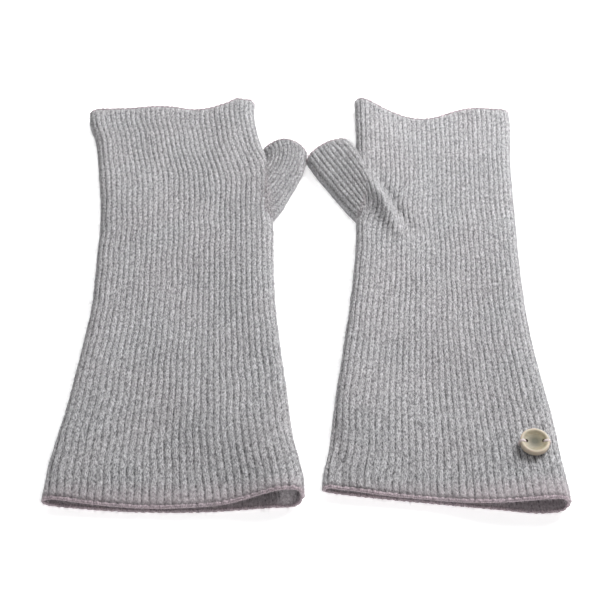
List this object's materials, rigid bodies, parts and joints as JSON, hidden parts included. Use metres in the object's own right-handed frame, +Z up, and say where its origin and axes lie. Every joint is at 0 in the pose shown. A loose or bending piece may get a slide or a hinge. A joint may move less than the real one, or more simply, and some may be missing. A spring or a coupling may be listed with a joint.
{
  "type": "pair of fingerless gloves",
  "caption": "Pair of long flared rib-knit fingerless gloves with short open thumbs and a round button near one cuff, laid flat with the backs of the hands up.",
  "frame": {"origin": "middle of the pair's base, on the surface that the gloves lie on", "axes": "+Z up from the surface, +Y from the cuffs towards the finger mouths, +X from the left-hand glove to the right-hand glove"},
  "size_m": [0.233, 0.264, 0.0171],
  "materials": {
    "rib_knit": "heathered grey 1x1 rib knit wool with a soft brushed halo",
    "bound_edge": "the same wool at a bound-off edge, slightly warmer",
    "seam_yarn": "plain grey wool yarn",
    "button_horn": "pale olive-beige horn or shell, polished and faintly clouded",
    "sewing_thread": "pale pinkish-grey cotton thread"
  },
  "bodies": {
    "left_glove": {"left_hand_tube": "rib_knit", "left_cuff_edge": "bound_edge", "left_finger_edge": "bound_edge", "left_side_seam": "seam_yarn", "left_thumb_seam": "seam_yarn"},
    "left_thumb": {"left_thumb_tube": "rib_knit", "left_thumb_edge": "bound_edge"},
    "right_glove": {"right_hand_tube": "rib_knit", "right_cuff_edge": "bound_edge", "right_finger_edge": "bound_edge", "right_side_seam": "seam_yarn", "right_thumb_seam": "seam_yarn"},
    "right_thumb": {"right_thumb_tube": "rib_knit", "right_thumb_edge": "bound_edge"},
    "button": {"button": "button_horn", "button_stitch_left": "sewing_thread", "button_stitch_right": "sewing_thread"}
  },
  "joints": [
    {"name": "right_glove_slide", "type": "slide", "parent": "left_glove", "child": "right_glove", "axis": [1, 0, 0], "range_m": [0, 0.15]},
    {"name": "left_thumb_fold", "type": "hinge", "parent": "left_glove", "child": "left_thumb", "pos_m": [-0.01971, 0.06067, 0.012], "axis": [0, -1, 0], "range_deg": [0, 120]},
    {"name": "right_thumb_fold", "type": "hinge", "parent": "right_glove", "child": "right_thumb", "pos_m": [0.03399, 0.06067, 0.012], "axis": [0, 1, 0], "range_deg": [0, 120]},
    {"name": "button_rock", "type": "hinge", "parent": "right_glove", "child": "button", "pos_m": [0.10349, -0.10333, 0.01255], "axis": [1, 0, 0], "range_deg": [-6, 6], "stiffness_Nm_per_rad": 0.001}
  ]
}
